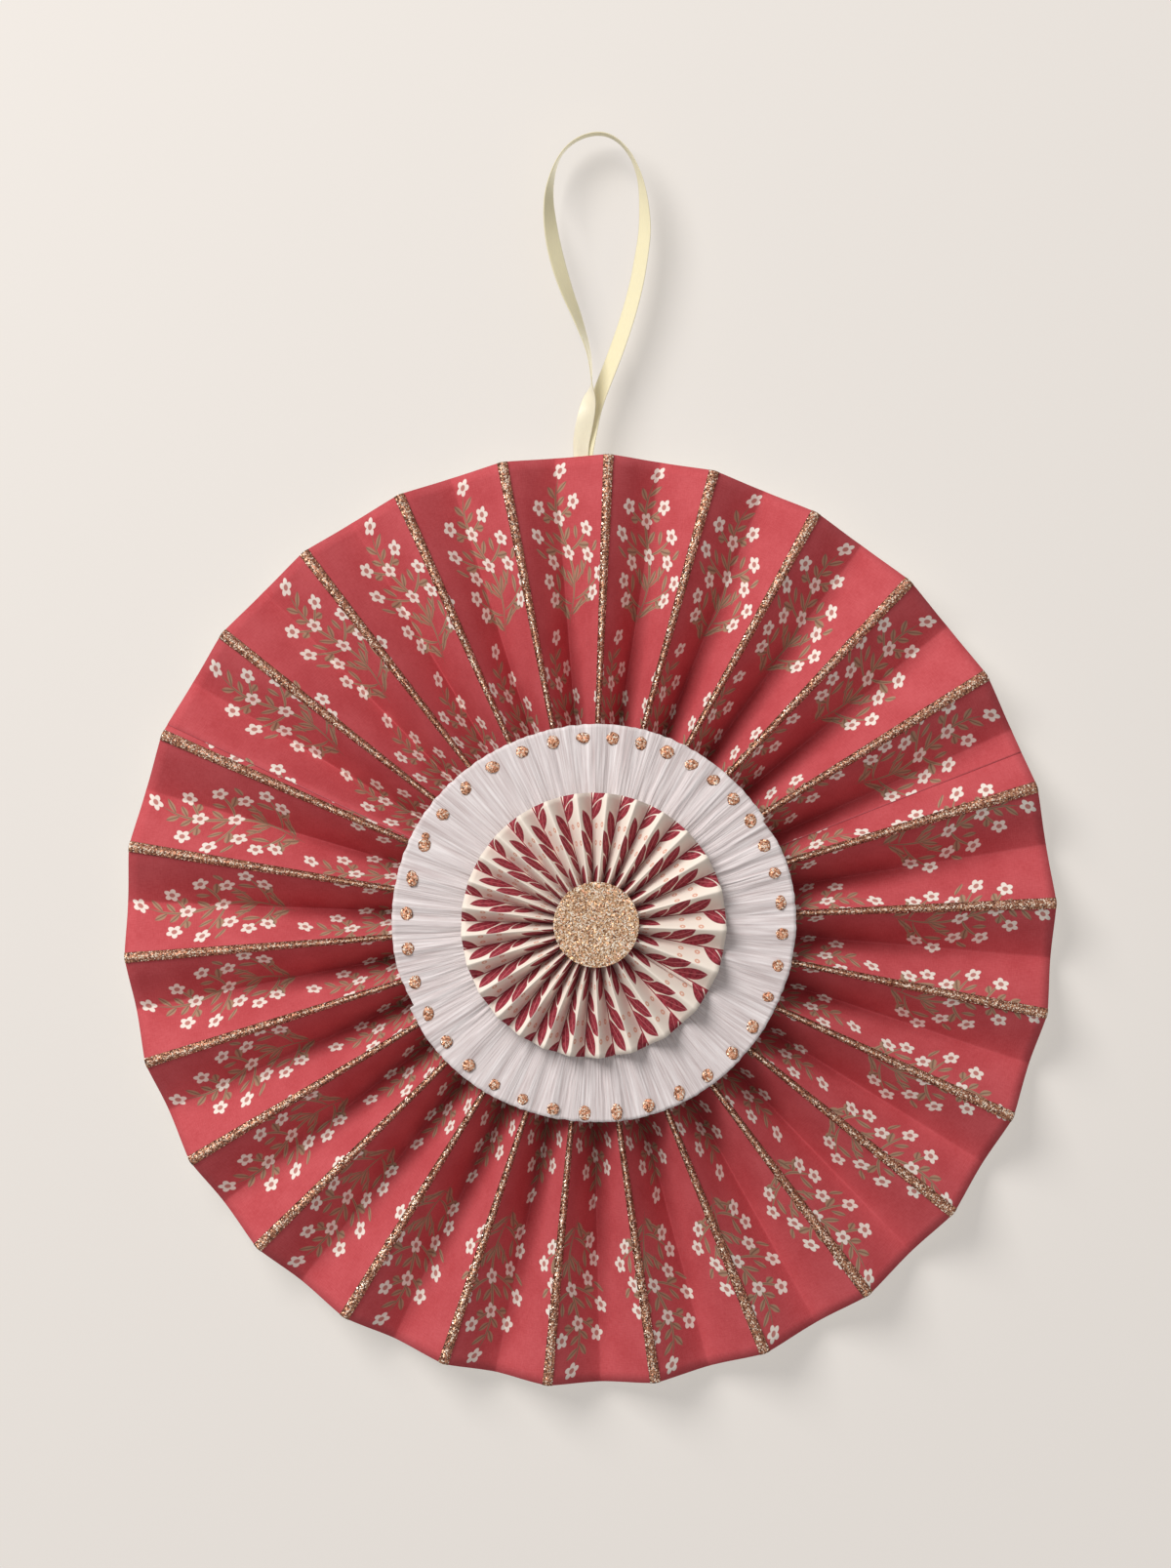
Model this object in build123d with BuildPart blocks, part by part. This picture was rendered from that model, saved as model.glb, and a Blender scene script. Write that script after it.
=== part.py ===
"""Paper fan medallion that hangs on a ribbon loop: a large pleated fan of printed paper with glitter
strips on its mountain folds, a gathered crepe disc with glitter dots, a small pleated fan and a
glitter disc in the middle.

Millimetres. +X is right, +Z is up and the medallion faces -Y. Its back lies in the plane y = 0, and
the origin is the large fan's axis in that plane. Depths are measured forwards, off that plane."""

import os
from itertools import pairwise
from math import atan2, ceil, cos, degrees, floor, hypot, pi, radians, sin, sqrt

from build123d import *

os.makedirs("parts", exist_ok=True)

# Clearances between glued layers
glue_film = 0.05
lap_glue = 0.15
strip_glue = 0.2
ribbon_glue = 0.15

# Large fan
fan_radius = 152.4
fan_hub_radius = 14.0
fan_pleats = 26
fan_panel = 22.2
fan_paper = 0.3
fan_rings = 6
fan_first_angle = 3.58
# Folds set by hand are not evenly spaced: (waves in one turn, swing in degrees, peak in degrees)
fan_unevenness = [(1, 1.34, 159), (2, 0.63, -78), (3, 0.64, -120), (4, 0.46, -85), (5, 0.27, 68)]
# The ring is closed from two strips. Each seam lies on the panel after fold number `fold`: the upper
# sheet ends at the share `edge` of that panel, and the lower one runs on under it to the share `tab`
fan_seam_right = {"fold": 9, "edge": 0.38, "tab": 0.17}
fan_seam_left = {"fold": 42, "edge": 0.2, "tab": 0.6}

# Glitter strips over the mountain folds
glitter_strip_width = 4.0
glitter_strip_thickness = 0.25
glitter_strip_inner_radius = 42.0

# Card discs that lock the pleats at the hub
back_disc_radius = 45.0
back_disc_thickness = 0.5
front_disc_radius = 30.0
front_disc_thickness = 0.5

# Gathered crepe disc
crepe_centre = (1.4, -1.3)
crepe_radius = 65.1
crepe_hole_radius = 4.0
crepe_paper = 0.3
crepe_rings = 3
crepe_gathers = 46
crepe_gather_depth_hub = 0.4
crepe_gather_depth_rim = 1.1
crepe_unevenness = [(3, 3.0, 40), (5, 2.2, 200), (11, 1.0, 90)]
crepe_edge_wander = [(1, 0.7, 335), (2, 0.5, 170), (5, 0.25, 60)]

# Glitter dots, set in from the edge of the crepe disc
dot_count = 37
dot_inset = 4.1
dot_radius = 2.0
dot_thickness = 0.45
dot_taper_angle = 35
dot_sides = 8
dot_unevenness = [(1, 4.74, -36), (2, 2.19, -32)]

# Small fan
small_centre = (1.2, -1.05)
small_radius = 42.9
small_hub_radius = 5.0
small_pleats = 26
small_panel = 8.5
small_paper = 0.2
small_rings = 5
small_first_angle = -0.55
small_unevenness = [(1, 9.62, -165), (2, 2.84, -47), (3, 1.83, 79)]
small_seam = {"fold": 17, "edge": 0.2, "tab": 0.6}

# Glitter disc in the middle
centre_disc_centre = (2.0, -0.7)
centre_disc_radius = 13.8
centre_disc_thickness = 0.6

# Hanging ribbon. Its two tails are glued behind the panel before fold 0, one behind the other
ribbon_width = 6.0
ribbon_thickness = 0.4
ribbon_tail_heights = (131.0, 142.0, 152.6)
ribbon_left_tail_x = -2.9
ribbon_right_tail_x = -1.5
# Free route from the left tail over the top to the right tail: x, z, depth, and the turn in degrees of
# the satin face from facing outwards, 0, towards facing forwards, 90, or backwards, -90
ribbon_route = [
    (-2.9, 156.2, 11.2, 66),
    (-2.3, 160.0, 11.9, 78),
    (-1.3, 164.8, 12.6, 80),
    (-0.2, 170.6, 12.9, 50),
    (0.6, 175.4, 13.0, 2),
    (0.4, 180.8, 12.8, -1),
    (-0.3, 186.0, 12.5, -4),
    (-1.8, 191.0, 12.2, -10),
    (-4.5, 198.7, 11.6, -25),
    (-7.5, 206.0, 11.1, -47),
    (-10.2, 214.4, 10.7, -68),
    (-12.2, 222.7, 10.3, -68),
    (-13.3, 230.4, 10.0, -52),
    (-13.6, 237.8, 10.0, -27),
    (-12.6, 243.8, 10.0, -3),
    (-10.7, 249.6, 10.0, 0),
    (-7.8, 253.8, 10.0, 0),
    (-3.7, 256.8, 10.0, 0),
    (1.1, 258.3, 10.0, 0),
    (5.6, 258.1, 10.0, 0),
    (9.8, 255.7, 10.0, 0),
    (13.3, 251.5, 10.0, -3),
    (15.5, 246.7, 10.0, -8),
    (17.0, 241.6, 10.1, -16),
    (17.9, 233.9, 10.2, -31),
    (18.1, 225.9, 10.3, -42),
    (17.0, 218.2, 10.3, -47),
    (15.5, 209.3, 10.3, -50),
    (13.1, 200.0, 10.2, -53),
    (10.2, 191.0, 10.0, -55),
    (6.9, 182.1, 9.9, -55),
    (3.8, 174.4, 9.8, -54),
    (1.4, 167.4, 9.9, -53),
    (0.0, 160.3, 10.2, -54),
    (-0.9, 156.0, 10.7, -56),
]


def swing_at(turn, waves):
    """Sum of slow waves round the turn, `turn` in degrees."""
    return sum(swing * cos(radians(count * turn - peak)) for count, swing, peak in waves)


def on_chord(share, step):
    """Angle from the first end, and reach, of a point at a share of the chord of a unit arc of `step`
    degrees."""
    along = (1 - share) + share * cos(radians(step))
    across = share * sin(radians(step))
    return degrees(atan2(across, along)), hypot(along, across)


def between(first, second, share):
    """Value or point at a share of the way from the first to the second."""
    return first * (1 - share) + second * share


def facets(line, next_line):
    """Flat triangles between two lines of points that run outwards. Each patch is split from its inner
    corner on the higher side to its outer corner on the lower side."""
    triangles = []
    for (inner, outer), (next_inner, next_outer) in zip(pairwise(line), pairwise(next_line)):
        if inner.Y < next_inner.Y:
            corners = [(inner, outer, next_outer), (inner, next_outer, next_inner)]
        else:
            corners = [(inner, outer, next_inner), (outer, next_outer, next_inner)]
        triangles += [Face(Wire.make_polygon(triangle)) for triangle in corners]
    return triangles


def folded_solid(sections, closed=False):
    """Solid of flat facets through a row of sections. A section is its line of points on the back and
    its line on the front, both running outwards. A closed row comes back to its first section."""
    faces = []
    for (back, front), (next_back, next_front) in pairwise(sections):
        faces += facets(back, next_back)
        faces += facets(front, next_front)
        faces += facets([back[0], front[0]], [next_back[0], next_front[0]])
        faces += facets([back[-1], front[-1]], [next_back[-1], next_front[-1]])
    if not closed:
        ends = (sections[0], sections[-1])
        faces += [Face(Wire.make_polygon([*back, *reversed(front)])) for back, front in ends]
    return Solid(Shell(faces))


# Sides of a lap: the sheet's end lies over the other one or runs under it
over = 1
under = -1


class FoldedRing:
    """A ring of folded paper. Folds are numbered clockwise from the top, even ones stand forwards
    (mountains) and odd ones backwards (valleys). A place between two folds is a number with a
    fraction, the share of the panel that lies behind it. The paper is twisted a little between the
    hub and the rim, so it's made of flat facets between sections at `places` and rings at `radii`."""

    def __init__(self, centre, pleats, paper, first_fold, unevenness, radii, extra_places=()):
        self.centre = centre
        self.pleats = pleats
        self.paper = paper
        self.first_fold = first_fold
        self.unevenness = unevenness
        self.radii = radii
        self.extra_places = extra_places

    def angle(self, fold):
        """Clockwise from the top, in degrees."""
        turn = 180 / self.pleats * fold
        return self.first_fold + turn + swing_at(turn, self.unevenness)

    def spot(self, place):
        """Angle and reach of a place between two folds, at a radius of 1 on those folds."""
        fold = floor(place)
        step = self.angle(fold + 1) - self.angle(fold)
        offset, reach = on_chord(place - fold, step)
        return self.angle(fold) + offset, reach

    def place_at(self, angle):
        """The place between folds that lies at an angle, and its reach."""
        fold = floor((angle - self.first_fold) / 180 * self.pleats) - 3
        while self.angle(fold + 1) <= angle:
            fold += 1
        before = sin(radians(angle - self.angle(fold)))
        after = sin(radians(self.angle(fold + 1) - angle))
        place = fold + before / (before + after)
        return place, self.spot(place)[1]

    def front(self, place, radius):
        """Depth of the paper's front face at a place: straight between two rings and level between two
        folds."""
        fold = floor(place)
        inside = sum(radius >= ring for ring in self.radii[1:-1])
        rings = self.radii[inside : inside + 2]
        depths = [
            between(self.fold_front(fold, ring), self.fold_front(fold + 1, ring), place - fold)
            for ring in rings
        ]
        return between(*depths, (radius - rings[0]) / (rings[1] - rings[0]))

    def line(self, place, radii, depths):
        """Points at a place, one on each ring."""
        angle, reach = self.spot(place)
        across = sin(radians(angle)) * reach
        up = cos(radians(angle)) * reach
        centre_x, centre_z = self.centre
        return [
            Vector(centre_x + across * radius, -depth, centre_z + up * radius)
            for radius, depth in zip(radii, depths)
        ]

    def paper_section(self, place, shift=0.0):
        """Section of the paper at a place. A lapped sheet is shifted forwards by a share of the
        thickness that it lies on."""
        radii = self.radii_at(place)
        front = [self.front(place, radius) + shift * (self.skin(radius) + lap_glue) for radius in radii]
        back = [depth - self.skin(radius) for radius, depth in zip(radii, front)]
        return self.line(place, radii, back), self.line(place, radii, front)

    def radii_at(self, place):
        """Radii of the rings at a place."""
        return self.radii

    def places(self, start, stop):
        """Places of a sheet's sections: its ends, its folds, and the extra ones, which repeat after a
        turn."""
        folds = range(ceil(start), floor(stop) + 1)
        turns = (-2 * self.pleats, 0, 2 * self.pleats)
        extra = [place + turn for place in self.extra_places for turn in turns]
        inside = [place for place in extra if start < place < stop]
        return sorted({round(place, 6) for place in [start, *folds, *inside, stop]})

    def sheet(self, start, stop, start_side=over, stop_side=under):
        """One sheet from place to place. An end with a fraction is lapped with another sheet's end on
        the same panel, and the one leans forwards and the other backwards, a thickness apart."""
        sections = []
        for place in self.places(start, stop):
            shift = 0.0
            if place < ceil(start):
                shift = start_side * (ceil(start) - place)
            if place > floor(stop):
                shift = stop_side * (place - floor(stop))
            sections.append(self.paper_section(place, shift))
        return folded_solid(sections, closed=stop - start == 2 * self.pleats)


class PleatedFan(FoldedRing):
    """A strip folded into equal panels and closed into a ring. The panel's width stays the same from
    the hub to the rim while the room between two folds grows, so every fold sinks towards the middle
    plane along an ellipse."""

    def __init__(self, panel, middle, **ring):
        super().__init__(**ring)
        self.panel = panel
        self.middle = middle

    def chord(self, radius):
        """Straight distance between two neighbouring folds."""
        return 2 * radius * sin(pi / 2 / self.pleats)

    def skin(self, radius):
        """Paper thickness along the axis, through a panel that leans as it does at a radius."""
        return self.paper * self.panel / self.chord(radius)

    def lift(self, radius):
        """How far a fold stands off the middle plane."""
        return pleat_lift(self.panel, self.chord(radius))

    def fold_front(self, fold, radius):
        """Depth of the front face at a fold."""
        if fold % 2 == 0:
            return self.middle + self.lift(radius)
        return self.middle - self.lift(radius) + self.skin(radius)


def pleat_lift(panel, chord):
    """Half the depth of a pleat whose panels span a chord."""
    return sqrt(panel**2 - chord**2) / 2


def rings(inner, outer, count):
    """Evenly spaced radii from the hub to the rim."""
    return [inner + (outer - inner) * step / (count - 1) for step in range(count)]


def seam_ends(seam):
    """Places of the two sheet ends at a seam."""
    return [seam["fold"] + seam["edge"], seam["fold"] + seam["tab"]]


class CrepeRing(FoldedRing):
    """A disc gathered into soft shallow folds of uneven depth, with a slightly wandering edge."""

    def __init__(self, base, **ring):
        super().__init__(**ring)
        self.base = base

    def skin(self, radius):
        """The gathers are shallow, so the thickness along the axis is the paper's own."""
        return self.paper

    def gather(self, radius):
        """Depth of the gathers at a radius."""
        growth = (crepe_gather_depth_rim - crepe_gather_depth_hub) * radius / crepe_radius
        return crepe_gather_depth_hub + growth

    def fold_front(self, fold, radius):
        """Depth of the front face at a fold: valleys lie flat, and mountains differ in height."""
        if fold % 2 == 1:
            return self.base + self.paper
        height = 0.7 + 0.3 * cos(radians(137.5 * (fold % (2 * self.pleats))))
        return self.base + self.paper + height * self.gather(radius)

    def radii_at(self, place):
        """The edge wanders a little round the disc."""
        wander = swing_at(self.spot(place)[0], crepe_edge_wander)
        return [*self.radii[:-1], self.radii[-1] + wander]


# Where the layers stack up
fan_hub_chord = 2 * fan_hub_radius * sin(pi / 2 / fan_pleats)
fan_middle = back_disc_thickness + glue_film + pleat_lift(fan_panel, fan_hub_chord)
front_disc_back = fan_middle + pleat_lift(fan_panel, fan_hub_chord) + glue_film
crepe_base = front_disc_back + front_disc_thickness + glue_film
small_hub_chord = 2 * small_hub_radius * sin(pi / 2 / small_pleats)
small_lift = pleat_lift(small_panel, small_hub_chord)

# Folds in one turn of the large fan, and the share of a panel that half a glitter strip covers
turn_folds = 2 * fan_pleats
strip_share = glitter_strip_width / 2 / fan_panel

fan = PleatedFan(
    centre=(0, 0),
    pleats=fan_pleats,
    paper=fan_paper,
    panel=fan_panel,
    middle=fan_middle,
    first_fold=fan_first_angle,
    unevenness=fan_unevenness,
    radii=rings(fan_hub_radius, fan_radius, fan_rings),
    extra_places=[
        *[fold + 0.5 for fold in range(turn_folds)],
        *[pleat + side for pleat in range(0, turn_folds, 2) for side in (-strip_share, strip_share)],
        *seam_ends(fan_seam_right),
        *seam_ends(fan_seam_left),
    ],
)
crepe = CrepeRing(
    centre=crepe_centre,
    pleats=crepe_gathers,
    paper=crepe_paper,
    base=crepe_base,
    first_fold=0,
    unevenness=crepe_unevenness,
    radii=rings(crepe_hole_radius, crepe_radius, crepe_rings),
)
small_back = crepe_base + crepe_paper + crepe.gather(small_hub_radius) + glue_film
small = PleatedFan(
    centre=small_centre,
    pleats=small_pleats,
    paper=small_paper,
    panel=small_panel,
    middle=small_back + small_lift,
    first_fold=small_first_angle,
    unevenness=small_unevenness,
    radii=rings(small_hub_radius, small_radius, small_rings),
    extra_places=[*[fold + 0.5 for fold in range(2 * small_pleats)], *seam_ends(small_seam)],
)


# Large fan: two folded strips, with the short one's ends glued over the long one's
right_edge, right_tab = seam_ends(fan_seam_right)
left_edge, left_tab = seam_ends(fan_seam_left)

with BuildPart() as fan_sheet_long:
    add(fan.sheet(right_tab, left_tab, start_side=under, stop_side=under))
fan_sheet_long.part.label = "fan_sheet_long"
export_step(fan_sheet_long.part, "parts/fan_sheet_long.step")

with BuildPart() as fan_sheet_short:
    add(fan.sheet(left_edge - turn_folds, right_edge, start_side=over, stop_side=over))
fan_sheet_short.part.label = "fan_sheet_short"
export_step(fan_sheet_short.part, "parts/fan_sheet_short.step")


# Glitter strips: a thin V over each mountain fold, from under the crepe disc to the rim
strip_radii = [glitter_strip_inner_radius]
strip_radii += [ring for ring in fan.radii if ring > glitter_strip_inner_radius]


def strip_section(place):
    """Section of a strip that lies on the fan's front face at a place. It's measured along the axis,
    so it's deeper where the strip lies on a leaning panel than over the crest of the fold."""
    back = [fan.front(place, radius) + strip_glue for radius in strip_radii]
    leans = [1 if place == floor(place) else fan_panel / fan.chord(radius) for radius in strip_radii]
    front = [depth + glitter_strip_thickness * lean for depth, lean in zip(back, leans)]
    return fan.line(place, strip_radii, back), fan.line(place, strip_radii, front)


for pleat in range(fan_pleats):
    fold = 2 * pleat
    with BuildPart() as glitter_strip:
        add(folded_solid([strip_section(fold + side) for side in (-strip_share, 0, strip_share)]))
    name = f"glitter_strip_{pleat + 1:02d}"
    glitter_strip.part.label = name
    export_step(glitter_strip.part, f"parts/{name}.step")


# Card discs on both sides of the hub
def wall_plane(depth, centre=(0, 0)):
    """Plane parallel to the wall at a depth, facing forwards."""
    return Plane(origin=(centre[0], -depth, centre[1]), x_dir=(1, 0, 0), z_dir=(0, -1, 0))


with BuildPart() as back_disc:
    with BuildSketch(wall_plane(0)):
        Circle(back_disc_radius)
    extrude(amount=back_disc_thickness)
back_disc.part.label = "back_disc"
export_step(back_disc.part, "parts/back_disc.step")

with BuildPart() as front_disc:
    with BuildSketch(wall_plane(front_disc_back)):
        Circle(front_disc_radius)
    extrude(amount=front_disc_thickness)
front_disc.part.label = "front_disc"
export_step(front_disc.part, "parts/front_disc.step")


# Crepe disc, closed all round
with BuildPart() as crepe_disc:
    add(crepe.sheet(0, 2 * crepe_gathers))
crepe_disc.part.label = "crepe_disc"
export_step(crepe_disc.part, "parts/crepe_disc.step")


# Glitter dots: low dabs, each one on the highest of the gathers under it
dot_ring_radius = crepe_radius - dot_inset
dot_reach = degrees(dot_radius / dot_ring_radius)

with BuildPart() as glitter_dots:
    dabs = []
    for dot in range(dot_count):
        turn = 360 / dot_count * dot
        angle = turn + swing_at(turn, dot_unevenness)
        seats = [angle - dot_reach, angle - dot_reach / 2, angle, angle + dot_reach / 2, angle + dot_reach]
        folds = [crepe.place_at(seat)[0] for seat in seats]
        folds += [fold for fold in range(floor(folds[0]) + 1, floor(folds[-1]) + 1)]
        outer = dot_ring_radius + dot_radius
        seat_depth = max(crepe.front(place, outer) for place in folds) + glue_film
        dot_x = crepe_centre[0] + dot_ring_radius * sin(radians(angle))
        dot_z = crepe_centre[1] + dot_ring_radius * cos(radians(angle))
        with BuildSketch(wall_plane(seat_depth, (dot_x, dot_z))):
            RegularPolygon(dot_radius, dot_sides)
        dabs.append(extrude(amount=dot_thickness, taper=dot_taper_angle, mode=Mode.PRIVATE))
    add(dabs)
glitter_dots.part.label = "glitter_dots"
export_step(glitter_dots.part, "parts/glitter_dots.step")


# Small fan: one strip, closed by one seam
small_edge, small_tab = seam_ends(small_seam)

with BuildPart() as small_fan:
    add(small.sheet(small_edge, small_tab + 2 * small_pleats))
small_fan.part.label = "small_fan"
export_step(small_fan.part, "parts/small_fan.step")


# Glitter disc in the middle
with BuildPart() as centre_disc:
    with BuildSketch(wall_plane(small_back + 2 * small_lift + glue_film, centre_disc_centre)):
        Circle(centre_disc_radius)
    extrude(amount=centre_disc_thickness)
centre_disc.part.label = "centre_disc"
export_step(centre_disc.part, "parts/centre_disc.step")


# Ribbon: flat band along its route, with both tails glued behind the panel before fold 0
def tail_point(x, z, layer):
    """Point of a tail that lies behind the fan's panel, as the first layer with its satin face in
    front, or as the second with its satin face behind."""
    place, reach = fan.place_at(degrees(atan2(x, z)))
    radius = hypot(x, z) / reach
    fold = floor(place)
    slope = atan2(fan.fold_front(fold + 1, radius) - fan.fold_front(fold, radius), fan.chord(radius))
    behind = layer * ribbon_glue + (layer - 0.5) * ribbon_thickness
    depth = fan.front(place, radius) - fan.skin(radius) - behind / cos(slope)
    return (x, z, depth, 90 - degrees(slope) if layer == 1 else degrees(slope) - 90)


left_tail = [tail_point(ribbon_left_tail_x, z, 1) for z in ribbon_tail_heights]
right_tail = [tail_point(ribbon_right_tail_x, z, 2) for z in reversed(ribbon_tail_heights)]
route = [*left_tail, *ribbon_route, *right_tail]
points = [Vector(x, -depth, z) for x, z, depth, turn in route]


def ribbon_section(index):
    """Cross-section of the band at a point of its route."""
    ahead = points[min(index + 1, len(points) - 1)]
    behind = points[max(index - 1, 0)]
    along = (ahead - behind).normalized()
    outwards = Vector(-along.Z, 0, along.X).normalized()
    turn = radians(route[index][3])
    face = outwards * cos(turn) + Vector(0, -1, 0) * sin(turn)
    across = along.cross(face).normalized()
    with BuildSketch(Plane(origin=points[index], x_dir=across, z_dir=along), mode=Mode.PRIVATE) as band:
        Rectangle(ribbon_width, ribbon_thickness)
    return band.sketch


with BuildPart() as ribbon_loop:
    loft(sections=[ribbon_section(index) for index in range(len(points))], ruled=True)
ribbon_loop.part.label = "ribbon_loop"
export_step(ribbon_loop.part, "parts/ribbon_loop.step")

ribbon_length = sum((after - before).length for before, after in zip(points, points[1:]))
print("ribbon length", round(ribbon_length, 1), "mm")
print("front of the centre disc at", round(small_back + 2 * small_lift + glue_film + centre_disc_thickness, 2))
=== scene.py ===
"""Looks of a paper fan medallion: a large pleated fan of printed craft paper with glitter strips on
its mountain folds, a gathered crepe disc with glitter dabs along its edge, a small pleated rosette
with a glitter disc on it, and a loop of satin ribbon.

Everything is in metres in the part's own frame: +X right, +Z up, and the medallion faces -Y. Depths
are measured forwards, off the wall at y = 0. Patterns are worked out in millimetres."""

from dataclasses import dataclass
from itertools import pairwise
from math import atan2, ceil, cos, degrees, floor, hypot, pi, radians, sin, sqrt

import bmesh
import bpy
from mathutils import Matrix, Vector, noise


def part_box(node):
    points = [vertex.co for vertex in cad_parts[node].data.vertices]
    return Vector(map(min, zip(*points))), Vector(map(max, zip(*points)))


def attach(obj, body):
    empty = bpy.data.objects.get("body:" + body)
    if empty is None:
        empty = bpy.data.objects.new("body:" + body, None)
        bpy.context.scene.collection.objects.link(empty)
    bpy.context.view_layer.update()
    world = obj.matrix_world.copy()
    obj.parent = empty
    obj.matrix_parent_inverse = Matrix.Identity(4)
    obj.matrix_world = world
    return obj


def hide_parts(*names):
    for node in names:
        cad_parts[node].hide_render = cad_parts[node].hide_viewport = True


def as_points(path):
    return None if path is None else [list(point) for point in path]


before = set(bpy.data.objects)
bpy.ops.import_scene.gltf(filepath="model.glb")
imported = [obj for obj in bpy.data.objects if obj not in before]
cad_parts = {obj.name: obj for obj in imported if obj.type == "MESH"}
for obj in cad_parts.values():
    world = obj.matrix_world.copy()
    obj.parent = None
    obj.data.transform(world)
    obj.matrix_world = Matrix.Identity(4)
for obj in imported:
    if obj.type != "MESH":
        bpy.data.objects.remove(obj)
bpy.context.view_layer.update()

MM = 0.001
# Steps of this angle, in degrees, never line up, so neighbours differ
GOLDEN_ANGLE = 137.5

# Large fan, as the part has it
FAN_RADIUS = 152.4 * MM
FAN_HUB_RADIUS = 14.0 * MM
FAN_PLEATS = 26
FAN_PANEL = 22.2 * MM
FAN_PAPER = 0.3 * MM
FAN_FIRST_ANGLE = 3.58
FAN_UNEVENNESS = [(1, 1.34, 159), (2, 0.63, -78), (3, 0.64, -120), (4, 0.46, -85), (5, 0.27, 68)]
FAN_SEAM_RIGHT = {"edge": 9.38, "tab": 9.17}
FAN_SEAM_LEFT = {"edge": 42.2, "tab": 42.6}
LAP_GLUE = 0.15 * MM

# Glitter strips over the mountain folds
STRIP_WIDTH = 4.0 * MM
STRIP_THICKNESS = 0.25 * MM
STRIP_GLUE = 0.2 * MM
STRIP_INNER_RADIUS = 42.0 * MM
# Raggedness of their edges, as a share of half the width, and height of their grit, with the lumps' sizes
STRIP_RAGGED = 0.08
STRIP_RAGGED_LUMP = 1.1 * MM
STRIP_GRIT = 0.05 * MM
STRIP_GRIT_LUMP = 0.7 * MM

# Gathered crepe disc
CREPE_CENTRE = (1.4 * MM, -1.3 * MM)
CREPE_RADIUS = 65.1 * MM
CREPE_HOLE_RADIUS = 4.0 * MM
CREPE_HIDDEN_RADIUS = 40 * MM
CREPE_PAPER = 0.3 * MM
# The sheet between its creases is thinner than the part's
CREPE_SHEET = 0.2 * MM
CREPE_GATHERS = 46
CREPE_GATHER_HUB = 0.4 * MM
CREPE_GATHER_RIM = 1.1 * MM
CREPE_UNEVENNESS = [(3, 3.0, 40), (5, 2.2, 200), (11, 1.0, 90)]
# Creases over the gathers: about how many in one turn, over what length they change, and their height
CREPE_CREASES = [(100, 40 * MM, 0.34 * MM), (260, 26 * MM, 0.2 * MM)]
# Edge: steps by angle, span and depth, slow waves, and raggedness, in the outer share of the radius
CREPE_NICKS = [(58, 8, 1.0 * MM), (246, 12, 1.6 * MM)]
CREPE_EDGE_WANDER = [(1, 0.7 * MM, 335), (2, 0.5 * MM, 170), (5, 0.25 * MM, 60)]
CREPE_EDGE_RAGGED = 0.3 * MM
CREPE_EDGE_SHARE = 0.2

# Glitter dabs along the edge of the crepe disc
DAB_COUNT = 37
DAB_RING_RADIUS = 61.0 * MM
DAB_RADIUS = 2.0 * MM
DAB_THICKNESS = 0.45 * MM
DAB_UNEVENNESS = [(1, 4.74, -36), (2, 2.19, -32)]
# A smaller smear beside one of them: angle, ring radius and share of a dab's size
DAB_SMEAR = (298.0, 62.0 * MM, 0.6)
# Shares of the thickness above and below the seat, and how much dabs differ in length, size and outline
DAB_ABOVE = 0.825
DAB_BELOW = 0.18
DAB_STRETCH = 0.3
DAB_SIZES = 0.28
DAB_ROUGHNESS = 0.2

# Small rosette
SMALL_CENTRE = (1.2 * MM, -1.05 * MM)
SMALL_RADIUS = 42.9 * MM
SMALL_HUB_RADIUS = 5.0 * MM
SMALL_PLEATS = 26
SMALL_PANEL = 8.5 * MM
SMALL_PAPER = 0.2 * MM
SMALL_FIRST_ANGLE = -0.55
SMALL_UNEVENNESS = [(1, 9.62, -165), (2, 2.84, -47), (3, 1.83, 79)]
SMALL_SEAM = {"edge": 17.2, "tab": 17.6}

# Glitter disc: grit and ragged outline with their lumps' sizes, and the worn edge
DISC_SEGMENTS = 96
DISC_RINGS = 12
DISC_GRIT = 0.06 * MM
DISC_GRIT_LUMP = 0.6 * MM
DISC_RAGGED = 0.004
DISC_RAGGED_LUMP = 1.2 * MM
DISC_WORN_DEPTH = 0.08 * MM
DISC_WORN_WIDTH = 0.1 * MM

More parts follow.
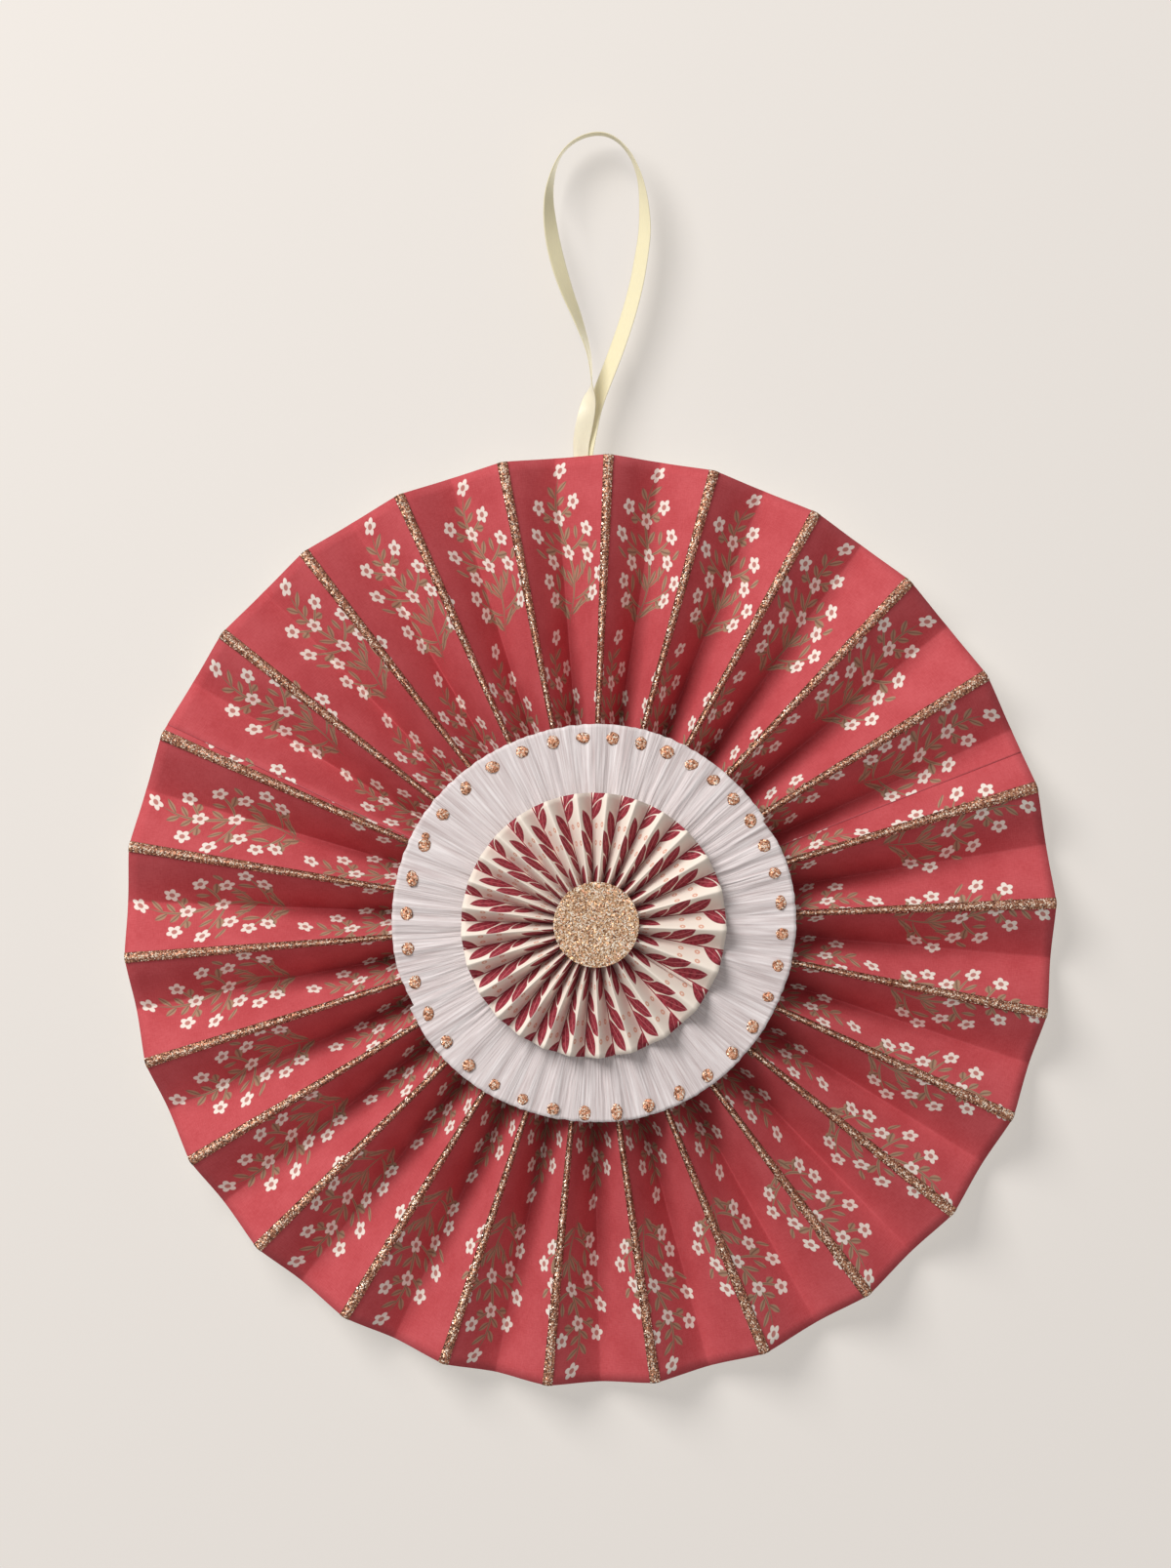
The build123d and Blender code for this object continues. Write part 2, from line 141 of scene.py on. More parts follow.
# Ribbon: nearly the part's route, as x, y, z and the turn of the satin face in degrees. Its left side
# turns more evenly than the part's, and its tails are a little nearer to the wall
RIBBON_WIDTH = 6.0 * MM
RIBBON_THICKNESS = 0.3 * MM
RIBBON_BEAD = 0.7 * MM
RIBBON_BEAD_HEIGHT = 0.25 * MM
RIBBON_ROUTE = [
    (-0.0029, -0.0097, 0.1310, 46),
    (-0.0029, -0.0100, 0.1420, 51),
    (-0.0029, -0.0105, 0.1526, 57),
    (-0.0029, -0.0111, 0.1562, 66),
    (-0.0023, -0.0119, 0.1600, 78),
    (-0.0013, -0.0126, 0.1648, 80),
    (-0.0002, -0.0129, 0.1706, 50),
    (0.0006, -0.0130, 0.1754, 0),
    (0.0004, -0.0128, 0.1808, -7),
    (-0.0003, -0.0125, 0.1860, -13),
    (-0.0018, -0.0122, 0.1910, -21),
    (-0.0045, -0.0116, 0.1987, -34),
    (-0.0075, -0.0111, 0.2060, -45),
    (-0.0102, -0.0107, 0.2144, -54),
    (-0.0122, -0.0103, 0.2227, -53),
    (-0.0133, -0.0100, 0.2304, -43),
    (-0.0136, -0.0100, 0.2378, -28),
    (-0.0126, -0.0100, 0.2438, -15),
    (-0.0107, -0.0100, 0.2496, -3),
    (-0.0078, -0.0100, 0.2538, 0),
    (-0.0037, -0.0100, 0.2568, 0),
    (0.0011, -0.0100, 0.2583, 0),
    (0.0056, -0.0100, 0.2581, 0),
    (0.0098, -0.0100, 0.2557, 0),
    (0.0133, -0.0100, 0.2515, -3),
    (0.0155, -0.0100, 0.2467, -8),
    (0.0170, -0.0101, 0.2416, -16),
    (0.0179, -0.0102, 0.2339, -31),
    (0.0181, -0.0103, 0.2259, -42),
    (0.0170, -0.0103, 0.2182, -47),
    (0.0155, -0.0103, 0.2093, -50),
    (0.0131, -0.0102, 0.2000, -53),
    (0.0102, -0.0100, 0.1910, -55),
    (0.0069, -0.0099, 0.1821, -55),
    (0.0038, -0.0098, 0.1744, -54),
    (0.0014, -0.0099, 0.1674, -53),
    (0.0000, -0.0102, 0.1603, -54),
    (-0.0009, -0.0107, 0.1560, -56),
    (-0.0015, -0.0108, 0.1526, -57),
    (-0.0015, -0.0105, 0.1420, -51),
    (-0.0015, -0.0103, 0.1310, -46),
]


def linear(code):
    """Linear colour of an sRGB hex value."""
    channels = [int(code[start : start + 2], 16) / 255 for start in (1, 3, 5)]
    bright = [c / 12.92 if c <= 0.04045 else ((c + 0.055) / 1.055) ** 2.4 for c in channels]
    return (*bright, 1.0)


def dimmed(code, share):
    """Linear colour of an sRGB hex value at a share of its light."""
    return (*[channel * share for channel in linear(code)[:3]], 1.0)


def add(tree, kind, inputs=None, stops=(), **settings):
    """Adds a node with its settings and a ramp's stops, each a place and a colour. An input is a value,
    a socket, or a node for its first output."""
    node = tree.nodes.new("ShaderNode" + kind)
    for name, value in settings.items():
        setattr(node, name, value)
    if stops:
        elements = node.color_ramp.elements
        for position, colour in stops[1:-1]:
            elements.new(position).color = colour
        for end in (0, -1):
            elements[end].position, elements[end].color = stops[end]
    for key, value in (inputs or {}).items():
        if isinstance(value, bpy.types.Node):
            value = value.outputs[0]
        if isinstance(value, bpy.types.NodeSocket):
            tree.links.new(value, node.inputs[key])
        else:
            node.inputs[key].default_value = value
    return node


def new_material(name, **settings):
    """A material, its node tree and its shader, with numbers set on the shader's own sockets."""
    material = bpy.data.materials.new(name)
    material.use_nodes = True
    shader = material.node_tree.nodes["Principled BSDF"]
    for key, value in settings.items():
        shader.inputs[key.replace("_", " ")].default_value = value
    return material, material.node_tree, shader


def cover(tree, shader, colour, relief, strength, depth):
    """Gives a shader its colour and a relief of a real depth."""
    tree.links.new(colour, shader.inputs["Base Color"])
    bump = add(tree, "Bump", {"Height": relief, "Strength": strength, "Distance": depth})
    tree.links.new(bump.outputs[0], shader.inputs["Normal"])


# Small sprig of the large fan's print, in millimetres on the flat paper. Each sheet's print starts at
# its own place
SPRIG_PITCH = 42.4
SPRIG_ROW_PITCH = 54.7
SPRIG_ROW_SHIFT = 10.0
SPRIG_TOP = 151.6
SPRIG_MIDDLE_LONG = 228.7 * MM
SPRIG_MIDDLE_SHORT = 22.2 * MM
SPRIG_SLIDE = -1.5
SPRIG_WINDING = 3.5
SPRIG_WINDING_LENGTH = 50.0
SPRIG_BEND = 0.035
# Stem by foot, tip and width, and the twigs' width
SPRIG_STEM = ((0, -27.0), (0, 23.0), 1.4)
SPRIG_TWIG_WIDTH = 1.15
# One side of the stem. Twigs by foot and tip, before they are bent up, and the blossom on each tip
SPRIG_TWIGS = [
    ((-0.3, 8.5), (8.0, 11.5)),
    ((-0.3, -2.5), (12.5, -1.0)),
    ((-0.3, -13.5), (9.5, -7.5)),
    ((-0.3, -18.5), (14.0, -17.5)),
    ((-0.3, -21.5), (11.0, -21.0)),
]
# Leaves by foot, tip and width
SPRIG_LEAVES = [
    ((0.5, -23.5), (6.0, -18.0), 2.8),
    ((0.3, -12.5), (3.5, -7.0), 2.0),
    ((0.3, 1.0), (4.5, 5.5), 2.1),
    ((0.3, 12.5), (4.0, 15.5), 2.1),
    ((0.2, 16.5), (4.0, 20.5), 2.1),
    ((3.5, 10.0), (7.0, 9.5), 2.1),
    ((6.0, 1.0), (7.5, 6.0), 2.1),
    ((6.0, -0.5), (11.5, -1.0), 2.1),
    ((12.0, -3.0), (16.0, 0.0), 2.0),
    ((5.0, -11.0), (5.5, -5.5), 2.0),
    ((8.5, -14.5), (9.0, -8.0), 2.1),
    ((6.0, -17.0), (11.0, -19.0), 2.1),
]
SPRIG_MIDDLE_BLOSSOMS = [(0.0, 24.0), (0.5, 8.5), (0.0, -3.0)]
# Blossoms: petals, where the first one points in radians, outline, and the eye
BLOSSOM_PETALS = 5
BLOSSOM_TURN = 0.3
BLOSSOM_RADIUS = 2.8
BLOSSOM_NOTCH = 1.2
BLOSSOM_EYE = 0.95
BLOSSOM_EYE_BLUR = 0.15
# Paper: clouds in the ink, in millimetres, and changes of the laid grain in one millimetre, along a thread
# and across it
INK_CLOUD = 12.5
GRAIN_ALONG = 0.45
GRAIN_ACROSS = 2.6

# Further than any leaf, in half leaves, and the least share of a leaf's width at its narrower end
FAR_AWAY = 1000.0
NARROWEST = 0.2


def lance(start, end, width):
    """A leaf or twig from one point to another: middle, direction, half length and half width."""
    across, up = end[0] - start[0], end[1] - start[1]
    middle = ((start[0] + end[0]) / 2, (start[1] + end[1]) / 2)
    return middle, atan2(up, across), hypot(across, up) / 2, width / 2


def before_bend(point):
    """Where a point of the finished sprig is before its twigs are bent up."""
    return point[0], point[1] - SPRIG_BEND * point[0] ** 2


def sprig_lances():
    """Stem, twigs and leaves on the right of the stem. The left side has the same, a little lower."""
    found = [lance(*SPRIG_STEM)]
    found += [lance(foot, tip, SPRIG_TWIG_WIDTH) for foot, tip in SPRIG_TWIGS]
    found += [lance(before_bend(foot), before_bend(tip), width) for foot, tip, width in SPRIG_LEAVES]
    return found


def sprig_side_blossoms():
    """Blossoms on the right of the stem, one at each twig's end."""
    return [(tip[0], tip[1] + SPRIG_BEND * tip[0] ** 2) for foot, tip in SPRIG_TWIGS]


def nearest_lance(tree, place, lances):
    """Unit place in the nearest of some leaves, and how much nearer it is than the second nearest one:
    x runs along the leaf and y across, from -1 to 1."""
    best = None
    for middle, direction, half_length, half_width in lances:
        seat = {
            "Vector": place,
            "Location": (*middle, 0),
            "Rotation": (0, 0, direction),
            "Scale": (half_length, half_width, 1),
        }
        unit = add(tree, "Mapping", seat, vector_type="TEXTURE")
        distance = add(tree, "VectorMath", {0: unit}, operation="LENGTH").outputs["Value"]
        if best is None:
            best, best_distance, second = unit.outputs[0], distance, FAR_AWAY
            continue
        nearer = add(tree, "Math", {0: distance, 1: best_distance}, operation="LESS_THAN")
        further = add(tree, "Math", {0: distance, 1: best_distance}, operation="MAXIMUM").outputs[0]
        second = add(tree, "Math", {0: further, 1: second}, operation="MINIMUM").outputs[0]
        best_distance = add(tree, "Math", {0: distance, 1: best_distance}, operation="MINIMUM").outputs[0]
        best = add(tree, "Mix", {0: nearer, 4: best, 5: unit}, data_type="VECTOR").outputs[1]
    lead = add(tree, "Math", {0: second, 1: best_distance}, operation="SUBTRACT").outputs[0]
    return best, lead


def lance_mask(tree, unit, softness, swell):
    """1 inside the pointed outline |y| = (1 - x²)(1 + swell x), 0 outside."""
    parts = add(tree, "SeparateXYZ", {0: unit})
    squared = add(tree, "Math", {0: parts.outputs["X"], 1: parts.outputs["X"]}, operation="MULTIPLY")
    across = add(tree, "Math", {0: parts.outputs["Y"]}, operation="ABSOLUTE")
    widening = add(tree, "Math", {0: parts.outputs["X"], 1: swell, 2: 1.0}, operation="MULTIPLY_ADD")
    widening = add(tree, "Math", {0: widening, 1: NARROWEST}, operation="MAXIMUM")
    across = add(tree, "Math", {0: across, 1: widening}, operation="DIVIDE")
    edge = add(tree, "Math", {0: squared, 1: across}, operation="ADD")
    return add(
        tree,
        "MapRange",
        {"Value": edge, "From Min": 1.0 + softness, "From Max": 1.0 - softness},
        interpolation_type="SMOOTHSTEP",
    ).outputs["Result"]


def sprig_cells(tree, flat):
    """Place in the sprig's own cell, in millimetres from its middle."""
    parts = add(tree, "SeparateXYZ", {0: flat})
    rows = add(tree, "Math", {0: SPRIG_TOP, 1: parts.outputs["Y"]}, operation="SUBTRACT")
    rows = add(tree, "Math", {0: rows, 1: SPRIG_ROW_PITCH}, operation="DIVIDE")
    row = add(tree, "Math", {0: rows}, operation="FLOOR")
    down = add(tree, "Math", {0: rows}, operation="FRACT")
    shifted = add(
        tree, "Math", {0: row, 1: SPRIG_ROW_SHIFT, 2: parts.outputs["X"]}, operation="MULTIPLY_ADD"
    )
    columns = add(tree, "Math", {0: shifted, 1: 1 / SPRIG_PITCH, 2: 0.5}, operation="MULTIPLY_ADD")
    across = add(tree, "Math", {0: columns}, operation="FRACT")
    local = add(tree, "CombineXYZ", {"X": across, "Y": down})
    local = add(tree, "VectorMath", {0: local, 1: (-0.5, -0.5, 0)}, operation="ADD")
    return add(
        tree, "VectorMath", {0: local, 1: (SPRIG_PITCH, -SPRIG_ROW_PITCH, 0)}, operation="MULTIPLY"
    ).outputs[0]


def folded_over(tree, place, slide):
    """The left half laid over the right one, slid down by `slide`, so that one drawing serves for
    both sides of a stem, in turn."""
    parts = add(tree, "SeparateXYZ", {0: place})
    left = add(tree, "Math", {0: parts.outputs["X"], 1: 0.0}, operation="LESS_THAN")
    across = add(tree, "Math", {0: parts.outputs["X"]}, operation="ABSOLUTE")
    up = add(tree, "Math", {0: left, 1: -slide, 2: parts.outputs["Y"]}, operation="MULTIPLY_ADD")
    return add(tree, "CombineXYZ", {"X": across, "Y": up}).outputs[0]


def bent_up(tree, place):
    """Place on the paper before the twigs are bent upwards."""
    parts = add(tree, "SeparateXYZ", {0: place})
    squared = add(tree, "Math", {0: parts.outputs["X"], 1: 2.0}, operation="POWER")
    up = add(tree, "Math", {0: squared, 1: -SPRIG_BEND, 2: parts.outputs["Y"]}, operation="MULTIPLY_ADD")
    return add(tree, "CombineXYZ", {"X": parts.outputs["X"], "Y": up}).outputs[0]


def wound(tree, place):
    """Place measured from a stem that winds."""
    parts = add(tree, "SeparateXYZ", {0: place})
    phase = add(
        tree, "Math", {0: parts.outputs["Y"], 1: 2 * pi / SPRIG_WINDING_LENGTH}, operation="MULTIPLY"
    )
    swing = add(tree, "Math", {0: phase}, operation="SINE")
    swing = add(tree, "Math", {0: swing, 1: SPRIG_WINDING}, operation="MULTIPLY")
    offset = add(tree, "CombineXYZ", {"X": swing})
    return add(tree, "VectorMath", {0: place, 1: offset}, operation="ADD").outputs[0]


def nearest_blossom(tree, place, blossoms, best=None, best_distance=None):
    """Place measured from the nearest blossom's middle, and its distance."""
    for across, up in blossoms:
        local = add(tree, "VectorMath", {0: place, 1: (across, up, 0)}, operation="SUBTRACT")
        distance = add(tree, "VectorMath", {0: local}, operation="LENGTH").outputs["Value"]
        if best is None:
            best, best_distance = local.outputs[0], distance
            continue
        nearer = add(tree, "Math", {0: distance, 1: best_distance}, operation="LESS_THAN")
        best_distance = add(tree, "Math", {0: distance, 1: best_distance}, operation="MINIMUM").outputs[0]
        best = add(tree, "Mix", {0: nearer, 4: best, 5: local}, data_type="VECTOR").outputs[1]
    return best, best_distance


def red_ground(tree, flat):
    """Solid red ink, a little uneven as it is on uncoated paper, and the paper's fine laid grain."""
    cloud = add(tree, "TexNoise", {"Vector": flat, "Scale": 1 / INK_CLOUD, "Detail": 3.0})
    along = add(tree, "Mapping", {"Vector": flat, "Scale": (GRAIN_ALONG, GRAIN_ACROSS, 1.0)})
    across = add(tree, "Mapping", {"Vector": flat, "Scale": (GRAIN_ACROSS, GRAIN_ALONG, 1.0)})
    threads = [
        add(tree, "TexNoise", {"Vector": way, "Scale": 1.0, "Detail": 1.0}).outputs["Fac"]
        for way in (along, across)
    ]
    grain = add(tree, "Math", {0: threads[0], 1: threads[1]}, operation="ADD")
    blend = add(tree, "Math", {0: grain, 1: 0.55, 2: -0.55}, operation="MULTIPLY_ADD")
    blend = add(tree, "Math", {0: blend, 1: cloud.outputs["Fac"]}, operation="ADD")
    reds = ((0.25, linear("#B9484D")), (0.75, linear("#C8595E")))
    return add(tree, "ValToRGB", {0: blend}, reds), grain


def khaki_sprigs(tree, half, ground):
    """Twigs and leaves in a khaki ink over the ground, a little darker along the middle of each."""
    leaf, _ = nearest_lance(tree, bent_up(tree, half), sprig_lances())
    mask = lance_mask(tree, leaf, softness=0.16, swell=0.25)
    vein = add(tree, "Math", {0: add(tree, "SeparateXYZ", {0: leaf}).outputs["Y"]}, operation="ABSOLUTE")
    vein = add(tree, "MapRange", {"Value": vein, "From Min": 0.0, "From Max": 0.4})
    khakis = {0: vein.outputs["Result"], 6: linear("#7E6150"), 7: linear("#AC8A72")}
    khaki = add(tree, "Mix", khakis, data_type="RGBA")
    return add(tree, "Mix", {0: mask, 6: ground, 7: khaki.outputs[2]}, data_type="RGBA").outputs[2]


def pale_blossoms(tree, half, local, inked):
    """Star-like blossoms over the other inks: pale petals round a small dusky eye."""
    blossom, reach = nearest_blossom(tree, half, sprig_side_blossoms())
    blossom, reach = nearest_blossom(tree, local, SPRIG_MIDDLE_BLOSSOMS, blossom, reach)
    parts = add(tree, "SeparateXYZ", {0: blossom})
    turn = add(tree, "Math", {0: parts.outputs["Y"], 1: parts.outputs["X"]}, operation="ARCTAN2")
    lobes = add(tree, "Math", {0: turn, 1: BLOSSOM_PETALS / 2, 2: BLOSSOM_TURN}, operation="MULTIPLY_ADD")
    lobes = add(tree, "Math", {0: lobes}, operation="COSINE")
    lobes = add(tree, "Math", {0: lobes}, operation="ABSOLUTE")
    reach_of_lobes = {0: lobes, 1: BLOSSOM_NOTCH, 2: BLOSSOM_RADIUS - BLOSSOM_NOTCH}
    outline = add(tree, "Math", reach_of_lobes, operation="MULTIPLY_ADD")
    inside = add(tree, "Math", {0: outline, 1: reach}, operation="SUBTRACT")
    petals = add(tree, "MapRange", {"Value": inside, "From Min": -0.12, "From Max": 0.18})
    eye_edges = {"From Min": BLOSSOM_EYE + BLOSSOM_EYE_BLUR, "From Max": BLOSSOM_EYE - BLOSSOM_EYE_BLUR}
    eye = add(tree, "MapRange", {"Value": reach, **eye_edges})
    petal_and_eye = {0: eye.outputs["Result"], 6: linear("#EFE6DC"), 7: linear("#BF7F77")}
    petal = add(tree, "Mix", petal_and_eye, data_type="RGBA")
    return add(tree, "Mix", {0: petals.outputs["Result"], 6: inked, 7: petal.outputs[2]}, data_type="RGBA")


def printed_fan_paper():
    """Uncoated craft paper, printed in red with small sprigs: dead matt, with a faint grain."""
    material, tree, shader = new_material("printed_craft_paper", Roughness=0.85, Specular_IOR_Level=0.25)
    uv = add(tree, "UVMap", uv_map="paper")
    flat = add(tree, "VectorMath", {0: uv, "Scale": 1 / MM}, operation="SCALE")
    local = wound(tree, sprig_cells(tree, flat))
    half = folded_over(tree, local, SPRIG_SLIDE)
    ground, grain = red_ground(tree, flat)
    paint = pale_blossoms(tree, half, local, khaki_sprigs(tree, half, ground))
    cover(tree, shader, paint.outputs[2], grain, strength=0.25, depth=0.1 * MM)
    return material


PAPER_FIBRES_PER_METRE = 900.0


def plain_paper(name, colour):
    """The unprinted back and cut edges of craft paper: off-white, dead matt, faintly fibrous."""
    material, tree, shader = new_material(name, Roughness=0.9, Specular_IOR_Level=0.2)
    place = add(tree, "TexCoord").outputs["Object"]
    fibre = add(tree, "TexNoise", {"Vector": place, "Scale": PAPER_FIBRES_PER_METRE, "Detail": 4.0})
    tones = ((0.35, dimmed(colour, 0.94)), (0.65, linear(colour)))
    tone = add(tree, "ValToRGB", {0: fibre.outputs["Fac"]}, tones)
    cover(tree, shader, tone.outputs["Color"], fibre.outputs["Fac"], strength=0.2, depth=0.05 * MM)
    return material


# How far the flakes slant, and how near to a fold the painted highlight begins and where it is strongest
FLAKE_TILT = 0.9
HIGHLIGHT_WIDTH = 0.8 * MM
HIGHLIGHT_CORE = 0.1 * MM


def glitter(name, grain, shares, colours, ridge_highlight=0.0):
    """Metallised film flakes glued on card, in rose gold: every flake lies at its own slant, and each
    is painted a tone at random from brown to pale, the palest a painted glint. `grain` is the flakes'
    size in millimetres, coarse enough to show, and the last argument how much paler the flakes are
    painted on a fold, a painted highlight."""
    material, tree, shader = new_material(name, Metallic=0.55, Roughness=0.3)
    place = add(tree, "TexCoord").outputs["Object"]
    flakes = add(tree, "TexVoronoi", {"Vector": place, "Scale": 1 / (grain * MM), "Randomness": 1.0})
    pick = add(tree, "SeparateColor", {0: flakes.outputs["Color"]}).outputs["Red"]
    across = add(tree, "SeparateXYZ", {0: add(tree, "UVMap", uv_map="paper")})
    off_fold = add(tree, "Math", {0: across.outputs["X"]}, operation="ABSOLUTE")
    # Painted highlight: flakes near the fold are painted paler, the more so the nearer they are
    highlight_mask = add(tree, "MapRange", {"Value": off_fold, "From Min": HIGHLIGHT_WIDTH, "From Max": HIGHLIGHT_CORE})
    highlight_mask = highlight_mask.outputs["Result"]
    pick = add(tree, "Math", {0: highlight_mask, 1: ridge_highlight, 2: pick}, operation="MULTIPLY_ADD")
    # A random tone for each flake; the palest stop is a painted glint
    tone = add(tree, "ValToRGB", {0: pick}, list(zip((0.0, *shares), map(linear, colours))))
    tone.color_ramp.interpolation = "CONSTANT"
    tree.links.new(tone.outputs["Color"], shader.inputs["Base Color"])
    lean = add(tree, "VectorMath", {0: flakes.outputs["Color"], 1: (0.5, 0.5, 0.5)}, operation="SUBTRACT")
    lean = add(tree, "VectorMath", {0: lean, "Scale": FLAKE_TILT}, operation="SCALE")
    normal = add(tree, "NewGeometry").outputs["Normal"]
    tilted = add(tree, "VectorMath", {0: normal, 1: lean}, operation="ADD")
    tilted = add(tree, "VectorMath", {0: tilted}, operation="NORMALIZE")
    tree.links.new(tilted.outputs[0], shader.inputs["Normal"])
    return material


# Fine creases in one turn, and how often they change in one metre outwards
CREPE_LINES = 460.0
CREPE_LINE_CHANGES = 42.0


def crepe_paper():
    """White crepe paper: soft, unglazed, with fine creases that all run outwards. Their hollows
    are painted darker than their crests, a painted shade.
    """
    material, tree, shader = new_material("crepe_paper", Roughness=0.9, Specular_IOR_Level=0.2)
    uv = add(tree, "UVMap", uv_map="paper")
    stretched = add(tree, "Mapping", {"Vector": uv, "Scale": (CREPE_LINES, CREPE_LINE_CHANGES, 1.0)})
    creases = add(tree, "TexNoise", {"Vector": stretched, "Scale": 1.0, "Detail": 4.0, "Roughness": 0.6})
    # Painted shade: the creases' hollows take the darker stop, their crests the lighter one
    whites_shaded_in_hollows = ((0.3, linear("#C8B8B7")), (0.65, linear("#EFE7E7")))
    tone = add(tree, "ValToRGB", {0: creases.outputs["Fac"]}, whites_shaded_in_hollows)
    cover(tree, shader, tone.outputs["Color"], creases.outputs["Fac"], strength=1.0, depth=0.35 * MM)
    return material


# Print of the small rosette, in millimetres on the flat paper: vines that run from the hub to the rim,
# with their leaves left and right in turn
VINE_PITCH = 17.0
VINE_LENGTH = 35.6
VINE_MIDDLE = 8.8
# The leaves on one side of the vine, by foot, tip and width
VINE_LEAVES = [
    ((-0.2, -8.0), (5.5, 0.5), 4.6),
    ((-0.2, -4.5), (8.5, 7.0), 5.2),
    ((-0.2, 2.0), (6.0, 13.5), 5.0),
]
VINE_RINGS = [(3.0, -15.0), (7.0, -15.0), (3.0, -9.5), (7.0, -9.0)]
RING_RADIUS = 0.62
# Half widths of the vine and of a ring's line, from where the ink begins to where it is full
VINE_STEM = (0.4, 0.28)
RING_LINE = (0.38, 0.24)
# Changes of the ink's mottle in one millimetre
INK_MOTTLE = 0.9
PRINT_SWING = [(1, 2.7 * MM, 20)]


def centred_fract(tree, value, pitch):
    """Distance from the middle of a stripe of width `pitch`, in its own unit."""
    share = add(tree, "Math", {0: value, 1: 1 / pitch}, operation="MULTIPLY")
    share = add(tree, "Math", {0: share}, operation="FRACT")
    return add(tree, "Math", {0: share, 1: pitch, 2: -pitch / 2}, operation="MULTIPLY_ADD").outputs[0]


def burgundy_vines(tree, local, off_stem, mottle):
    """Mask and colour of the vines: paler ribs, and slits where one leaf lies beside another."""
    leaf, lead = nearest_lance(tree, local, [lance(*leaf) for leaf in VINE_LEAVES])
    slit = add(tree, "MapRange", {"Value": lead, "From Min": 0.05, "From Max": 0.12})
    mask = lance_mask(tree, leaf, softness=0.06, swell=0.35)
    mask = add(tree, "Math", {0: mask, 1: slit.outputs["Result"]}, operation="MULTIPLY")
    stem = add(tree, "MapRange", {"Value": off_stem, "From Min": VINE_STEM[0], "From Max": VINE_STEM[1]})
    mask = add(tree, "Math", {0: mask, 1: stem.outputs["Result"]}, operation="MAXIMUM")
    rib = add(tree, "Math", {0: add(tree, "SeparateXYZ", {0: leaf}).outputs["Y"]}, operation="ABSOLUTE")
    rib = add(tree, "MapRange", {"Value": rib, "From Min": 0.03, "From Max": 0.1})
    burgundies = ((0.38, linear("#7C222F")), (0.62, linear("#A43D49")))
    ink = add(tree, "ValToRGB", {0: mottle}, burgundies)
    ink = add(tree, "Mix", {0: rib.outputs["Result"], 6: linear("#B9666B"), 7: ink}, data_type="RGBA")
    return mask, ink.outputs[2]


def peach_rings(tree, local):
    """Colour of the cream ground with its small peach rings."""
    _, reach = nearest_blossom(tree, local, VINE_RINGS)
    ring = add(tree, "Math", {0: reach, 1: -RING_RADIUS}, operation="ADD")
    ring = add(tree, "Math", {0: ring}, operation="ABSOLUTE")
    ring = add(tree, "MapRange", {"Value": ring, "From Min": RING_LINE[0], "From Max": RING_LINE[1]})
    cream_and_peach = {0: ring.outputs["Result"], 6: linear("#F3E7DA"), 7: linear("#E2AC96")}
    return add(tree, "Mix", cream_and_peach, data_type="RGBA").outputs[2]


def printed_rosette_paper():
    """Cream scrapbook paper printed with vines of burgundy leaves and small peach rings: matt."""
    material, tree, shader = new_material("printed_rosette_paper", Roughness=0.8, Specular_IOR_Level=0.25)
    uv = add(tree, "UVMap", uv_map="paper")
    flat = add(tree, "VectorMath", {0: uv, "Scale": 1 / MM}, operation="SCALE")
    parts = add(tree, "SeparateXYZ", {0: flat})
    across = centred_fract(tree, parts.outputs["X"], VINE_PITCH)
    up = add(tree, "Math", {0: parts.outputs["Y"], 1: VINE_LENGTH / 2 - VINE_MIDDLE}, operation="ADD")
    place = add(tree, "CombineXYZ", {"X": across, "Y": up})
    half = add(tree, "SeparateXYZ", {0: folded_over(tree, place, VINE_LENGTH / 2)})
    up = centred_fract(tree, half.outputs["Y"], VINE_LENGTH)
    local = add(tree, "CombineXYZ", {"X": half.outputs["X"], "Y": up})
    mottle = add(tree, "TexNoise", {"Vector": flat, "Scale": INK_MOTTLE, "Detail": 3.0}).outputs["Fac"]
    mask, ink = burgundy_vines(tree, local, half.outputs["X"], mottle)
    paint = add(tree, "Mix", {0: mask, 6: peach_rings(tree, local), 7: ink}, data_type="RGBA")
    cover(tree, shader, paint.outputs[2], mottle, strength=0.15, depth=0.05 * MM)
    return material


# Threads of the satin, drawn coarse enough to show
THREAD_LENGTH = 2.5 * MM
THREAD_WIDTH = 0.2 * MM


def satin(name, colour, roughness, sheen):
    """Polyester satin ribbon: long threads lie side by side along it, so its face has a soft gleam."""
    material, tree, shader = new_material(name, Roughness=roughness, Sheen_Weight=sheen)
    shader.inputs["Specular IOR Level"].default_value = 0.4
    shader.inputs["Subsurface Weight"].default_value = 0.3
    shader.inputs["Subsurface Radius"].default_value = (1.0, 0.9, 0.7)
    shader.inputs["Subsurface Scale"].default_value = 3 * MM
    uv = add(tree, "UVMap", uv_map="ribbon")
    threads = add(tree, "Mapping", {"Vector": uv, "Scale": (1 / THREAD_LENGTH, 1 / THREAD_WIDTH, 1.0)})
    lines = add(tree, "TexNoise", {"Vector": threads, "Scale": 1.0, "Detail": 2.0})
    tones = ((0.3, dimmed(colour, 0.93)), (0.7, linear(colour)))
    tone = add(tree, "ValToRGB", {0: lines.outputs["Fac"]}, tones)
    cover(tree, shader, tone.outputs["Color"], lines.outputs["Fac"], strength=0.2, depth=0.05 * MM)
    return material


def white_lined_card():
    """White-lined card: smooth and matt, with a faint fibre."""
    return plain_paper("white_lined_card", "#EDE8DF")


def swing_at(turn, waves):
    """Sum of slow waves round the turn, `turn` in degrees."""
    return sum(swing * cos(radians(count * turn - peak)) for count, swing, peak in waves)


# Length over which a panel's belly changes
BELLY_LENGTH = 40 * MM


